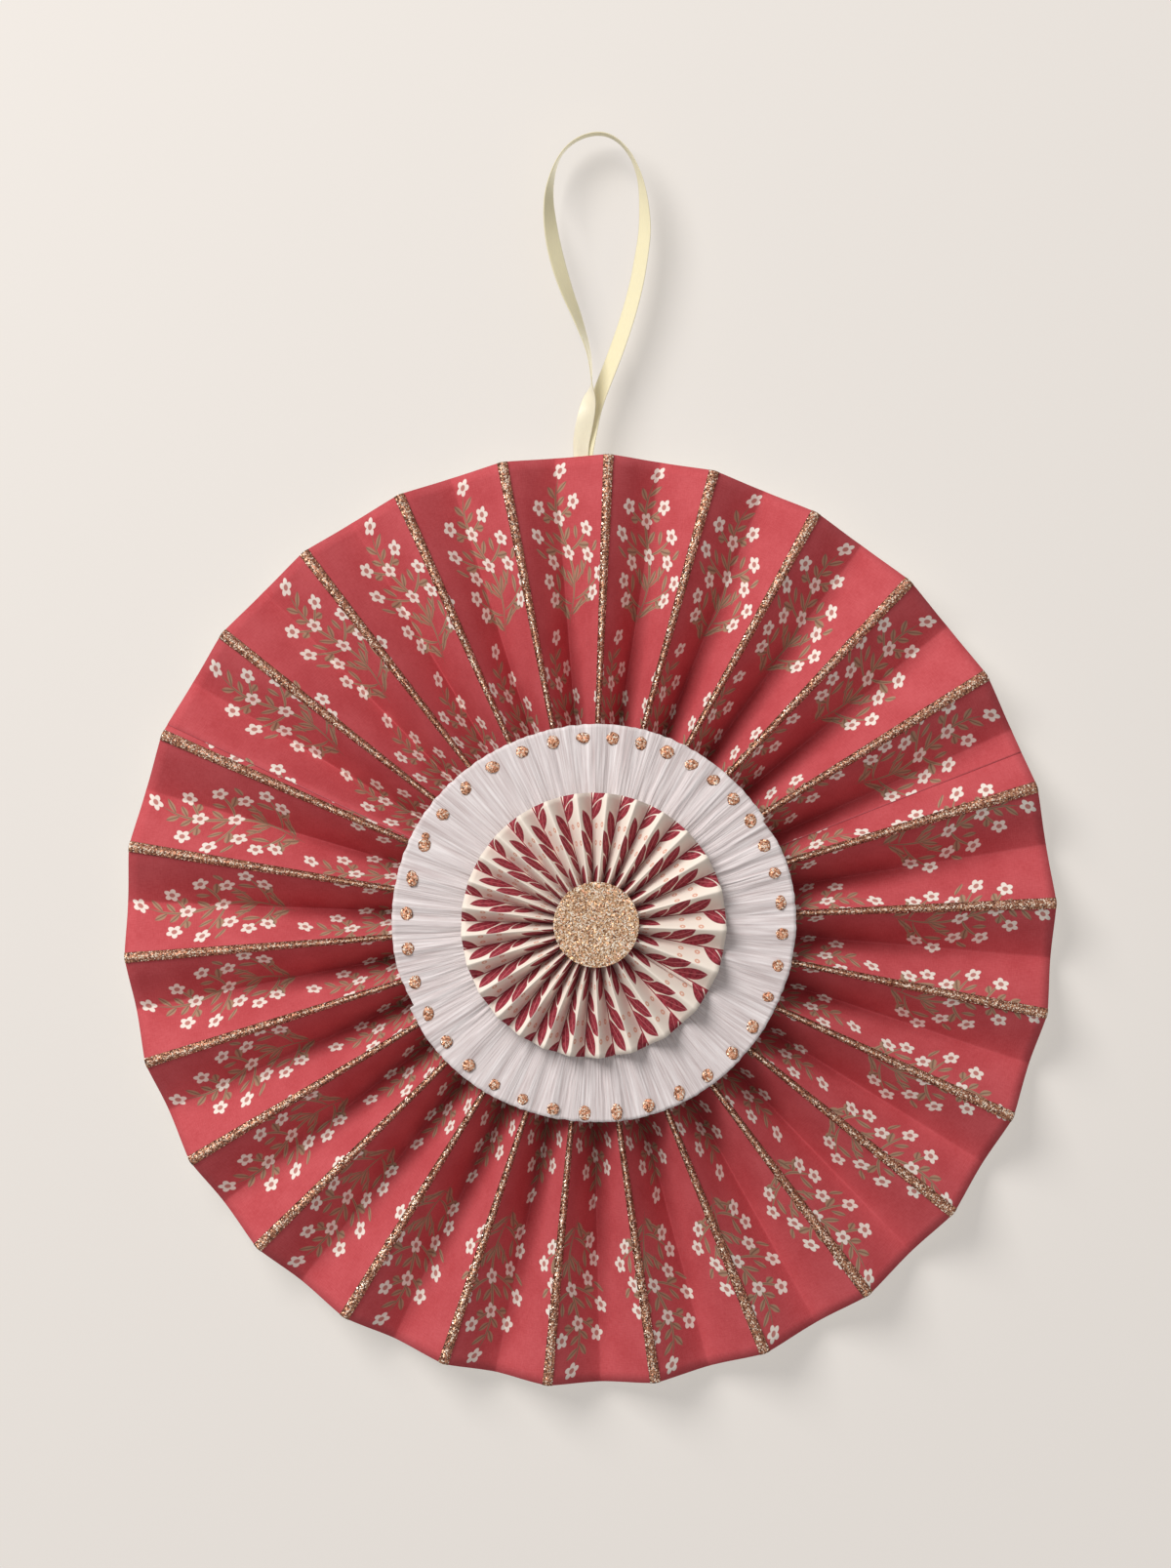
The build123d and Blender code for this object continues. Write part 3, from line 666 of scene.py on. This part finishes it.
@dataclass
class FoldedRing:
    """A ring of folded paper, numbered clockwise from the top: even folds stand forwards and odd ones
    backwards. A place is a fold's number and the share of the panel behind it."""

    centre: tuple
    radius: float
    pleats: int
    panel: float
    paper: float
    middle: float
    first_angle: float
    unevenness: list
    rounding: float
    bow: float
    warp: float

    def angle(self, fold):
        """Clockwise from the top, in degrees."""
        turn = 180 / self.pleats * fold
        return self.first_angle + turn + swing_at(turn, self.unevenness)

    def spot(self, place):
        """Angle and reach of a place between two folds, at a radius of 1 on those folds."""
        fold = floor(place)
        share = place - fold
        step = radians(self.angle(fold + 1) - self.angle(fold))
        along = (1 - share) + share * cos(step)
        across = share * sin(step)
        return self.angle(fold) + degrees(atan2(across, along)), hypot(along, across)

    def chord(self, radius):
        """Straight distance between two neighbouring folds."""
        return 2 * radius * sin(pi / 2 / self.pleats)

    def lift(self, radius):
        """How far a fold stands off the middle plane."""
        return sqrt(self.panel**2 - self.chord(radius) ** 2) / 2

    def skin(self, radius):
        """Paper thickness along the axis, through a panel that leans as it does at a radius."""
        return self.paper * self.panel / self.chord(radius)

    def height(self, place, rounding, bow):
        """1 on a mountain fold and -1 in a valley, with the crease a little rounded. A panel that bows
        lies flatter by the folds than in its middle."""
        fold = floor(place)
        share = place - fold
        height = 1 - 2 * share
        height += bow * (cos(pi * share) - height)
        near = min(share, 1 - share)
        if near < rounding:
            soft = (1 - bow) * (rounding - near) ** 2 / rounding
            height -= soft if height > 0 else -soft
        return height if fold % 2 == 0 else -height

    def slack(self, place, radius):
        """Hand-folded panels aren't quite flat: each one bellies a little, most in its middle."""
        fold = floor(place)
        share = place - fold
        belly = cos(radians(GOLDEN_ANGLE * (fold % (2 * self.pleats)))) * sin(pi * share)
        wave = noise.noise(Vector((fold * 3.7, share * 1.3, radius / BELLY_LENGTH))) * sin(pi * share)
        return self.warp * (0.6 * belly + 1.2 * wave)

    def depth(self, place, radius, rounding=None):
        """Depth of the paper's front face."""
        bow = self.bow * (radius / self.radius) ** 2
        height = self.height(place, self.rounding if rounding is None else rounding, bow)
        flat = self.middle + height * self.lift(radius) + (1 - height) / 2 * self.skin(radius)
        return flat + self.slack(place, radius)

    def point(self, place, radius, depth):
        """Point of the part's frame at a place and radius."""
        angle, reach = self.spot(place)
        across, up = sin(radians(angle)) * reach, cos(radians(angle)) * reach
        return Vector((self.centre[0] + across * radius, -depth, self.centre[1] + up * radius))


def grid_piece(across, up, point_at, flat_at, uv_name):
    """A flat grid with one column for each value of `across` and one row for each of `up`, moved to
    `point_at` and unwrapped to `flat_at`, as a bmesh."""
    mesh = bmesh.new()
    columns, rows = len(across) - 1, len(up) - 1
    bmesh.ops.create_grid(mesh, x_segments=columns, y_segments=rows, size=0.5)
    layer = mesh.loops.layers.uv.new(uv_name)
    cells = {}
    for vert in mesh.verts:
        cells[vert] = (round((vert.co.x + 0.5) * columns), round((vert.co.y + 0.5) * rows))
    for face in mesh.faces:
        face.smooth = True
        for loop in face.loops:
            column, row = cells[loop.vert]
            loop[layer].uv = flat_at(across[column], up[row])
    for vert, (column, row) in cells.items():
        vert.co = point_at(across[column], up[row])
    return mesh


def finish_piece(name, mesh, materials, replaced):
    """The piece's object, which rides on the part and stands for its CAD nodes."""
    data = bpy.data.meshes.new(name)
    mesh.to_mesh(data)
    mesh.free()
    for material in materials:
        data.materials.append(material)
    piece = bpy.data.objects.new(name, data)
    bpy.context.scene.collection.objects.link(piece)
    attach(piece, "root")
    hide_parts(*replaced)
    return piece


def give_thickness(piece, thickness, offset, back_slot=0, rim_slot=0):
    """Paper's or ribbon's real thickness."""
    solidify = piece.modifiers.new("thickness", "SOLIDIFY")
    solidify.thickness = thickness
    solidify.offset = offset
    solidify.material_offset = back_slot
    solidify.material_offset_rim = rim_slot


def middle_depth(node):
    """Depth halfway through a CAD node."""
    low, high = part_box(node)
    return -(low[1] + high[1]) / 2


fan = FoldedRing(
    centre=(0, 0),
    radius=FAN_RADIUS,
    pleats=FAN_PLEATS,
    panel=FAN_PANEL,
    paper=FAN_PAPER,
    middle=middle_depth("fan_sheet_long"),
    first_angle=FAN_FIRST_ANGLE,
    unevenness=FAN_UNEVENNESS,
    rounding=0.03,
    bow=0.35,
    warp=0.35 * MM,
)
rosette = FoldedRing(
    centre=SMALL_CENTRE,
    radius=SMALL_RADIUS,
    pleats=SMALL_PLEATS,
    panel=SMALL_PANEL,
    paper=SMALL_PAPER,
    middle=middle_depth("small_fan"),
    first_angle=SMALL_FIRST_ANGLE,
    unevenness=SMALL_UNEVENNESS,
    rounding=0.09,
    bow=0.6,
    warp=0.12 * MM,
)


def spread(start, stop, steps):
    """Evenly spaced values, ends included."""
    return [start + (stop - start) * step / steps for step in range(steps + 1)]


# Where a panel's grid has its columns, close together by the folds
PANEL_SHARES = [0, 0.008, 0.018, 0.03, 0.08, 0.2, 0.35, 0.5, 0.65, 0.8, 0.92, 0.97, 0.982, 0.992]
OVER = 1
UNDER = -1


def folded_sheet(name, ring, ends, sides, radii, print_start, materials, node, print_swing=()):
    """A flat strip of printed paper, folded from place to place. An end with a fraction is glued over
    or under another sheet's end on the same panel. The print lies in or out by `print_swing`."""
    start, stop = ends
    inside = [fold + share for fold in range(floor(start), ceil(stop)) for share in PANEL_SHARES]
    places = [start, *[place for place in inside if start < place < stop], stop]

    def point_at(place, radius):
        shift = 0.0
        if place < ceil(start):
            shift = sides[0] * (ceil(start) - place)
        if place > floor(stop):
            shift = sides[1] * (place - floor(stop))
        lap = shift * (ring.skin(radius) + LAP_GLUE)
        return ring.point(place, radius, ring.depth(place, radius) + lap)

    def flat_at(place, radius):
        swing = swing_at(180 / ring.pleats * place, print_swing)
        return place * ring.panel - print_start, radius + swing

    mesh = grid_piece(places, radii, point_at, flat_at, "paper")
    piece = finish_piece(name, mesh, materials, [node])
    give_thickness(piece, ring.paper, offset=-1, back_slot=1, rim_slot=2)


def fold_large_fan():
    """Two printed strips, with the short one's ends glued over the long one's."""
    materials = [
        printed_fan_paper(),
        plain_paper("paper_back", "#EFE9E0"),
        plain_paper("paper_edge", "#C9737B"),
    ]
    radii = spread(FAN_HUB_RADIUS, FAN_RADIUS, steps=40)
    folded_sheet(
        "fan_paper_long",
        fan,
        ends=(FAN_SEAM_RIGHT["tab"], FAN_SEAM_LEFT["tab"]),
        sides=(UNDER, UNDER),
        radii=radii,
        print_start=SPRIG_MIDDLE_LONG,
        materials=materials,
        node="fan_sheet_long",
    )
    folded_sheet(
        "fan_paper_short",
        fan,
        ends=(FAN_SEAM_LEFT["edge"] - 2 * FAN_PLEATS, FAN_SEAM_RIGHT["edge"]),
        sides=(OVER, OVER),
        radii=radii,
        print_start=SPRIG_MIDDLE_SHORT,
        materials=materials,
        node="fan_sheet_short",
    )


def fold_rosette():
    """One printed strip, closed by one seam."""
    materials = [
        printed_rosette_paper(),
        plain_paper("rosette_paper_back", "#F0E9DE"),
        plain_paper("rosette_paper_edge", "#EDE3D6"),
    ]
    folded_sheet(
        "rosette_paper",
        rosette,
        ends=(SMALL_SEAM["edge"], SMALL_SEAM["tab"] + 2 * SMALL_PLEATS),
        sides=(OVER, UNDER),
        radii=spread(SMALL_HUB_RADIUS, SMALL_RADIUS, steps=22),
        print_start=0.0,
        print_swing=PRINT_SWING,
        materials=materials,
        node="small_fan",
    )


def lay_glitter_strips(material):
    """A thin V of glitter paper over each mountain fold, with slightly ragged edges."""
    half = STRIP_WIDTH / 2 / FAN_PANEL
    shares = [-1, -0.85, -0.5, -0.22, -0.08, 0, 0.08, 0.22, 0.5, 0.85, 1]
    radii = spread(STRIP_INNER_RADIUS, FAN_RADIUS, steps=130)
    for number in range(1, FAN_PLEATS + 1):
        fold = 2 * (number - 1)

        def point_at(share, radius, fold=fold):
            ragged = noise.noise(Vector((fold * 5.1 + share, radius / STRIP_RAGGED_LUMP, 0)))
            place = fold + half * share * (1 + STRIP_RAGGED * ragged * abs(share))
            grit = noise.noise(Vector((share * 9 + fold, radius / STRIP_GRIT_LUMP, 3.3))) * STRIP_GRIT
            depth = fan.depth(place, radius, rounding=0.035) + STRIP_GLUE + grit
            return fan.point(place, radius, depth)

        def flat_at(share, radius):
            return half * share * FAN_PANEL, radius

        mesh = grid_piece(shares, radii, point_at, flat_at, "paper")
        name = f"glitter_band_{number:02d}"
        band = finish_piece(name, mesh, [material], [f"glitter_strip_{number:02d}"])
        give_thickness(band, STRIP_THICKNESS, offset=1)


CREPE_BASE = -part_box("crepe_disc")[1][1]


def crepe_places():
    """Places round the crepe, close enough for its creases."""
    return spread(0, 2 * CREPE_GATHERS, steps=40 * CREPE_GATHERS)


def crepe_spot(place):
    """Angle in radians at a place between two gathers."""
    turn = 180 / CREPE_GATHERS * place
    return radians(turn + swing_at(turn, CREPE_UNEVENNESS))


def crease(angle, outwards, count):
    """Sharp creases, about `count` in one turn, from about -1 in the hollows to 1 on the crests."""
    around = Vector((cos(angle), sin(angle), 0)) * count / 6
    return 1 - 2.6 * abs(noise.noise(around + Vector((0, 0, outwards + count))))


def gather_height(place, radius):
    """Rounded gathers of uneven height, which grow towards the rim."""
    fold = floor(place)
    share = place - fold
    mountain = fold if fold % 2 == 0 else fold + 1
    uneven = 0.7 + 0.3 * cos(radians(GOLDEN_ANGLE * (mountain % (2 * CREPE_GATHERS))))
    swell = 0.5 + 0.5 * cos(pi * (share if fold % 2 == 0 else 1 - share))
    growth = (CREPE_GATHER_RIM - CREPE_GATHER_HUB) * radius / CREPE_RADIUS
    return 0.75 * uneven * swell * (CREPE_GATHER_HUB + growth)


def crease_height(place, radius):
    """Sharper creases over the gathers, stronger in some stretches than in others, which fade towards
    the edge."""
    angle = crepe_spot(place)
    angle += 0.012 * noise.noise(Vector((cos(angle) * 2, sin(angle) * 2, radius / (9 * MM))))
    stretch = 0.75 + 0.9 * noise.noise(Vector((cos(angle), sin(angle), 5)) * 1.9)
    fading = 1 - 0.5 * max(0, (radius - SMALL_RADIUS) / (CREPE_RADIUS - SMALL_RADIUS))
    creases = sum(rise * crease(angle, radius / run, count) for count, run, rise in CREPE_CREASES)
    return creases * stretch * fading


def crepe_depth(place, radius):
    """Depth of the crepe's front."""
    return CREPE_BASE + CREPE_PAPER + gather_height(place, radius) + crease_height(place, radius)


def nick(turn):
    """Where two lengths of crepe meet, the edge steps in and comes out again."""
    return sum(
        depth * (1 - (turn - start) / span)
        for start, span, depth in CREPE_NICKS
        if 0 <= turn - start < span
    )


def crepe_point(place, radius):
    """Point of the crepe's front."""
    angle = crepe_spot(place)
    turn = degrees(angle) % 360
    share = max(0, 1 - (1 - radius / CREPE_RADIUS) / CREPE_EDGE_SHARE)
    ragged = noise.noise(Vector((cos(angle), sin(angle), 0)) * 30) * CREPE_EDGE_RAGGED
    reach = radius + share * (swing_at(turn, CREPE_EDGE_WANDER) + ragged - nick(turn))
    x = CREPE_CENTRE[0] + reach * sin(angle)
    z = CREPE_CENTRE[1] + reach * cos(angle)
    return Vector((x, -crepe_depth(place, radius), z))


def gather_crepe(material):
    """A strip of crepe paper, gathered into a ring and closed on itself."""
    hidden = spread(CREPE_HOLE_RADIUS, CREPE_HIDDEN_RADIUS, steps=5)
    seen = spread(CREPE_HIDDEN_RADIUS + MM, CREPE_RADIUS, steps=20)

    def flat_at(place, radius):
        return place / (2 * CREPE_GATHERS), radius

    mesh = grid_piece(crepe_places(), hidden + seen, crepe_point, flat_at, "paper")
    bmesh.ops.remove_doubles(mesh, verts=mesh.verts, dist=1e-6)
    piece = finish_piece("crepe_skirt", mesh, [material], ["crepe_disc"])
    give_thickness(piece, CREPE_SHEET, offset=-1)


def seat_under(angle, ring_radius):
    """Depth of the highest crease under a dab."""
    reach = DAB_RADIUS / ring_radius
    ways = [(place, crepe_spot(place) - angle) for place in crepe_places()]
    near = [place for place, way in ways if abs((way + pi) % (2 * pi) - pi) < reach]
    return max(crepe_depth(place, ring_radius) for place in near)


def dab_glitter(material):
    """Low irregular heaps of glitter, each seated on the highest crease under it."""
    mesh = bmesh.new()
    turns = [360 / DAB_COUNT * dab for dab in range(DAB_COUNT)]
    dabs = [(turn + swing_at(turn, DAB_UNEVENNESS), DAB_RING_RADIUS, 1.0) for turn in turns]
    for dab, (turn, ring_radius, share) in enumerate([*dabs, DAB_SMEAR]):
        angle = radians(turn)
        seat = seat_under(angle, ring_radius)
        centre = Vector((CREPE_CENTRE[0], 0, CREPE_CENTRE[1]))
        centre += Vector((sin(angle), 0, cos(angle))) * ring_radius
        ball = bmesh.ops.create_uvsphere(mesh, u_segments=20, v_segments=10, radius=1.0)
        stretch = 1 + DAB_STRETCH * noise.noise(Vector((dab * 1.7, 0.3, 0)))
        size = share * (1 + DAB_SIZES * noise.noise(Vector((dab * 2.3, 7.1, 0))))
        for vert in ball["verts"]:
            ragged = noise.noise(vert.co * 2.0 + Vector((dab * 4.1, 0, 0)))
            rough = size * (1 + DAB_ROUGHNESS * ragged)
            x, y, z = vert.co
            height = z * DAB_THICKNESS * (DAB_ABOVE if z > 0 else DAB_BELOW) * rough
            spot = (x * DAB_RADIUS * rough * stretch, -seat - height, y * DAB_RADIUS * rough / stretch)
            vert.co = centre + Vector(spot)
    bmesh.ops.recalc_face_normals(mesh, faces=mesh.faces)
    for face in mesh.faces:
        face.smooth = True
    finish_piece("glitter_dabs", mesh, [material], ["glitter_dots"])


def cut_centre_disc(material):
    """A disc punched out of thick glitter card, with a gritty face."""
    low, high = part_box("centre_disc")
    radius = (high[0] - low[0]) / 2
    centre = Vector(((low[0] + high[0]) / 2, high[1], (low[2] + high[2]) / 2))
    mesh = bmesh.new()
    bmesh.ops.create_circle(mesh, cap_ends=True, segments=DISC_SEGMENTS, radius=radius)
    face = mesh.faces[:]
    walls = bmesh.ops.extrude_face_region(mesh, geom=face)
    top = [item for item in walls["geom"] if isinstance(item, bmesh.types.BMFace)]
    bmesh.ops.translate(mesh, verts=top[0].verts, vec=(0, 0, high[1] - low[1]))
    bmesh.ops.reverse_faces(mesh, faces=face)
    for ring in range(DISC_RINGS):
        bmesh.ops.inset_region(mesh, faces=top, thickness=radius / (DISC_RINGS + 0.5))
    for vert in mesh.verts:
        if vert.co.z > 1e-6:
            worn = DISC_WORN_DEPTH if hypot(vert.co.x, vert.co.y) > radius - DISC_WORN_WIDTH else 0
            grit = noise.noise(Vector((vert.co.x, vert.co.y, 0)) / DISC_GRIT_LUMP) * DISC_GRIT
            vert.co.z += grit - worn
        ragged = 1 + DISC_RAGGED * noise.noise(vert.co / DISC_RAGGED_LUMP)
        vert.co.x *= ragged
        vert.co.y *= ragged
        vert.co = centre + Vector((vert.co.x, -vert.co.z, vert.co.y))
    bmesh.ops.recalc_face_normals(mesh, faces=mesh.faces)
    finish_piece("rosette_middle", mesh, [material], ["centre_disc"])


def read_line(points):
    """Points along a smooth line that has `points` as its control points."""
    curve = bpy.data.curves.new("line", "CURVE")
    curve.dimensions = "3D"
    curve.resolution_u = 32
    spline = curve.splines.new("NURBS")
    spline.points.add(len(points) - 1)
    for control, point in zip(spline.points, points):
        control.co = (*point, 1.0)
    spline.order_u = 3
    spline.use_endpoint_u = True
    line = bpy.data.objects.new("line", curve)
    mesh = bpy.data.meshes.new_from_object(line)
    found = [vert.co.copy() for vert in mesh.vertices]
    bpy.data.objects.remove(line)
    bpy.data.curves.remove(curve)
    bpy.data.meshes.remove(mesh)
    return found


def ribbon_sides(points, turns):
    """Direction across the ribbon at each of its points."""
    sides = []
    for index, turn in enumerate(turns):
        ahead = points[min(index + 1, len(points) - 1)]
        behind = points[max(index - 1, 0)]
        along = (ahead - behind).normalized()
        outwards = Vector((-along.z, 0, along.x)).normalized()
        face = outwards * cos(radians(turn)) + Vector((0, -1, 0)) * sin(radians(turn))
        sides.append(along.cross(face).normalized())
    return sides


def tie_ribbon():
    """A woven ribbon of one length, turned and crossed as it hangs, with beaded edges."""
    points = [Vector(stop[:3]) for stop in RIBBON_ROUTE]
    sides = ribbon_sides(points, [stop[3] for stop in RIBBON_ROUTE])
    route = read_line(points)
    sides = [side.normalized() for side in read_line(sides)]
    run = [0.0]
    for before, after in pairwise(route):
        run.append(run[-1] + (after - before).length)

    def point_at(share, index):
        beads = abs(sin(pi * run[index] / RIBBON_BEAD)) * RIBBON_BEAD_HEIGHT if abs(share) == 1 else 0
        half = RIBBON_WIDTH / 2 - RIBBON_BEAD_HEIGHT
        return route[index] + sides[index] * (half * share + (beads if share > 0 else -beads))

    def flat_at(share, index):
        return run[index], share * RIBBON_WIDTH / 2

    shares = [-1, -0.94, -0.88, -0.5, 0, 0.5, 0.88, 0.94, 1]
    mesh = grid_piece(shares, range(len(route)), point_at, flat_at, "ribbon")
    materials = [
        satin("satin_face", "#F6EACA", roughness=0.38, sheen=0.3),
        satin("satin_reverse", "#EADDB4", roughness=0.55, sheen=0.15),
    ]
    ribbon = finish_piece("satin_ribbon", mesh, materials, ["ribbon_loop"])
    give_thickness(ribbon, RIBBON_THICKNESS, offset=0, back_slot=1, rim_slot=1)
    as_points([tuple(point) for point in route[::16]] + [tuple(route[-1])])


def dress_card_discs():
    """The card discs that lock the pleats stay as the part has them."""
    card = white_lined_card()
    for name in ("back_disc", "front_disc"):
        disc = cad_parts[name]
        disc.data.materials.clear()
        disc.data.materials.append(card)


WALL_COLOUR = "#EEE8E2"
WALL_HALF_SIZE = 10.0
WALL_GAP = 0.4 * MM
WALL_GLOW = 0.93
WALL_GLOW_SHARE = 0.45
FILL_LIGHT = (0.385, 0.38, 0.375, 1.0)
# Lamps by name, place, size, power and colour
LAMPS = [
    ("window", (-1.0, -1.38, 1.15), 1.1, 37.0, (1.0, 0.985, 0.965)),
    ("back_fill", (0.6, 1.7, 0.8), 1.4, 22.0, (1.0, 0.99, 0.98)),
]
CAMERA_PLACE = (-0.00144, -1.1566, 0.0446)
CAMERA_SENSOR = 36.0
CAMERA_LENS = 80.13


def hang_backdrop():
    """A pale wall behind the medallion, with a soft shadow on it. Only the camera sees it, and only
    from the front, so that the back is lit and can be seen."""
    mesh = bmesh.new()
    bmesh.ops.create_grid(mesh, x_segments=1, y_segments=1, size=WALL_HALF_SIZE)
    for vert in mesh.verts:
        vert.co = Vector((vert.co.x, WALL_GAP, vert.co.y))
    data = bpy.data.meshes.new("backdrop")
    mesh.to_mesh(data)
    mesh.free()
    wall = bpy.data.objects.new("backdrop", data)
    bpy.context.scene.collection.objects.link(wall)
    material, tree, shader = new_material("painted_wall", Roughness=1.0, Specular_IOR_Level=0.0)
    shader.inputs["Base Color"].default_value = linear(WALL_COLOUR)
    glow = add(tree, "Emission", {"Color": linear(WALL_COLOUR), "Strength": WALL_GLOW})
    paint = add(tree, "MixShader", {0: WALL_GLOW_SHARE, 1: shader, 2: glow})
    camera_ray = add(tree, "LightPath").outputs["Is Camera Ray"]
    behind = add(tree, "NewGeometry").outputs["Backfacing"]
    seen = add(tree, "Math", {0: 1.0, 1: behind}, operation="SUBTRACT")
    seen = add(tree, "Math", {0: seen, 1: camera_ray}, operation="MULTIPLY")
    clear = add(tree, "BsdfTransparent")
    mix = add(tree, "MixShader", {0: seen, 1: clear, 2: paint})
    tree.links.new(mix.outputs[0], tree.nodes["Material Output"].inputs["Surface"])
    data.materials.append(material)


def light_it():
    """Soft daylight from the upper left over an even fill, and a weaker lamp that shows the back."""
    world = bpy.data.worlds.new("studio")
    world.use_nodes = True
    bpy.context.scene.world = world
    tree = world.node_tree
    background = tree.nodes["Background"]
    path = add(tree, "LightPath")
    rays = {0: path.outputs["Is Camera Ray"], 1: path.outputs["Is Glossy Ray"]}
    seen = add(tree, "Math", rays, operation="MAXIMUM")
    tone = add(tree, "Mix", {0: seen, 6: FILL_LIGHT, 7: linear(WALL_COLOUR)}, data_type="RGBA")
    tree.links.new(tone.outputs[2], background.inputs["Color"])
    background.inputs["Strength"].default_value = 1.0

    for name, place, size, energy, colour in LAMPS:
        lamp = bpy.data.lights.new(name, "AREA")
        lamp.shape = "SQUARE"
        lamp.size = size
        lamp.energy = energy
        lamp.color = colour
        holder = bpy.data.objects.new(name, lamp)
        holder.location = place
        holder.rotation_euler = (-Vector(place)).to_track_quat("-Z", "Y").to_euler()
        bpy.context.scene.collection.objects.link(holder)


def set_camera():
    """At the photograph's place: level, square on, and a little above the middle of the fan."""
    data = bpy.data.cameras.new("camera")
    data.sensor_fit = "VERTICAL"
    data.sensor_height = CAMERA_SENSOR
    data.lens = CAMERA_LENS
    camera = bpy.data.objects.new("camera", data)
    camera.location = CAMERA_PLACE
    camera.rotation_euler = (pi / 2, 0, 0)
    bpy.context.scene.collection.objects.link(camera)
    bpy.context.scene.camera = camera


bpy.context.scene.view_settings.view_transform = "Standard"
set_camera()
light_it()
hang_backdrop()
fold_large_fan()
lay_glitter_strips(
    glitter(
        "rose_gold_glitter_strip",
        grain=0.36,
        shares=(0.34, 0.7, 0.9),
        colours=("#553022", "#8E5B43", "#C39373", "#FFEFDC"),
        ridge_highlight=0.16,
    )
)
dress_card_discs()
gather_crepe(crepe_paper())
dab_glitter(
    glitter(
        "rose_gold_glitter_dab",
        grain=0.42,
        shares=(0.24, 0.6, 0.84),
        colours=("#744630", "#B97E5F", "#E0B092", "#FFF2E2"),
    )
)
fold_rosette()
cut_centre_disc(
    glitter(
        "rose_gold_glitter_disc",
        grain=0.36,
        shares=(0.26, 0.58, 0.8),
        colours=("#744C34", "#AF8865", "#D8B796", "#FFF4E4"),
    )
)
tie_ribbon()
